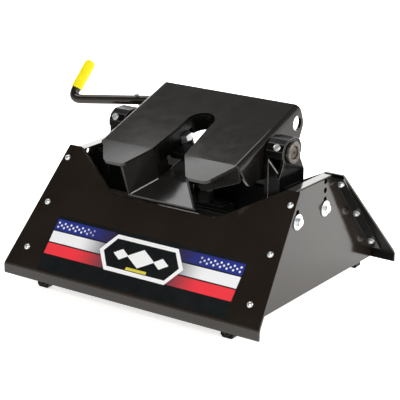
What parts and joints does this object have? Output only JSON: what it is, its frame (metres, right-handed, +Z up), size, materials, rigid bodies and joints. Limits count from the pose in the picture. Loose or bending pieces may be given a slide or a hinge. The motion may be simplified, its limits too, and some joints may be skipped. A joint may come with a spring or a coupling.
{
  "type": "fifth wheel trailer hitch",
  "caption": "Low four-panel base with a tilting slotted head that catches a trailer king pin; a hook locks it and a side handle releases it.",
  "frame": {"origin": "on the plane the four rail lugs stand on, under the middle of the overall width (the base's own middle is 30.6 mm to the right) and directly below the head's pivot axis", "axes": "+X to the right-hand side seen from behind the trailer looking forward, +Y forward to the cab, away from the throat's mouth, +Z up; the pivot axis of the head runs along X"},
  "size_m": [0.8042, 0.63, 0.4812],
  "materials": {
    "gloss_coat": "gloss black powder coat",
    "satin_coat": "satin black powder coat",
    "cast_paint": "black painted casting",
    "zinc": "bright zinc plate",
    "bare_steel": "machined, lightly greased",
    "grip_vinyl": "dipped yellow vinyl",
    "pad_rubber": "moulded rubber"
  },
  "bodies": {
    "base": {"front_panel": "gloss_coat", "rear_panel": "gloss_coat", "side_panel_right": "gloss_coat", "side_panel_left": "gloss_coat", "front_panel_bolt_left_1": "zinc", "front_panel_bolt_left_2": "zinc", "front_panel_bolt_left_3": "zinc", "mounting_lug_front_left": "gloss_coat", "front_panel_bolt_right_1": "zinc", "front_panel_bolt_right_2": "zinc", "front_panel_bolt_right_3": "zinc", "mounting_lug_front_right": "gloss_coat", "rear_panel_bolt_left_1": "zinc", "rear_panel_bolt_left_2": "zinc", "rear_panel_bolt_left_3": "zinc", "mounting_lug_rear_left": "gloss_coat", "rear_panel_bolt_right_1": "zinc", "rear_panel_bolt_right_2": "zinc", "rear_panel_bolt_right_3": "zinc", "mounting_lug_rear_right": "gloss_coat", "crossbeam": "satin_coat", "pitch_stop_bar": "satin_coat", "height_bolt_front_right": "zinc", "height_bolt_rear_right": "zinc", "end_plate_right": "satin_coat", "pivot_upright_inner_right": "satin_coat", "pivot_upright_outer_right": "satin_coat", "pivot_cap_right": "cast_paint", "pivot_cap_bolt_right": "zinc", "pivot_bushing_right": "bare_steel", "pivot_gusset_front_right": "satin_coat", "pivot_gusset_rear_right": "satin_coat", "pitch_stop_pad_right": "pad_rubber", "height_bolt_front_left": "zinc", "height_bolt_rear_left": "zinc", "end_plate_left": "satin_coat", "pivot_upright_inner_left": "satin_coat", "pivot_upright_outer_left": "satin_coat", "pivot_cap_left": "cast_paint", "pivot_cap_bolt_left": "zinc", "pivot_bushing_left": "bare_steel", "pivot_gusset_front_left": "satin_coat", "pivot_gusset_rear_left": "satin_coat", "pitch_stop_pad_left": "pad_rubber"},
    "head": {"head_plate": "gloss_coat", "throat_casting": "cast_paint", "throat_floor": "gloss_coat", "throat_guide_right": "gloss_coat", "front_web_right": "satin_coat", "pivot_pin_right": "bare_steel", "throat_guide_left": "gloss_coat", "front_web_left": "satin_coat", "pivot_pin_left": "bare_steel", "hook_bolt": "zinc", "latch_spring": "bare_steel"},
    "hook": {"hook": "cast_paint"},
    "handle": {"handle_rod": "gloss_coat", "handle_bolt": "zinc", "handle_grip": "grip_vinyl", "lock_bar": "zinc"}
  },
  "joints": [
    {"name": "head_pitch", "type": "hinge", "parent": "base", "child": "head", "pos_m": [0.0306, 0, 0.364], "axis": [-1, 0, 0], "range_deg": [0, 34]},
    {"name": "handle_pull", "type": "slide", "parent": "head", "child": "handle", "axis": [-0.969, -0.2326, -0.0828], "range_m": [0, 0.035], "stiffness_N_per_m": 800, "springref_m": -0.02, "deforming": ["latch_spring"]},
    {"name": "hook_swing", "type": "hinge", "parent": "head", "child": "hook", "pos_m": [-0.0104, -0.01696, 0.35796], "axis": [0, 0.3354, -0.9421], "range_deg": [0, 90]}
  ],
  "couplings": [
    {"joint": "hook_swing", "follows": "handle_pull", "rad_per_m": 44.879}
  ]
}
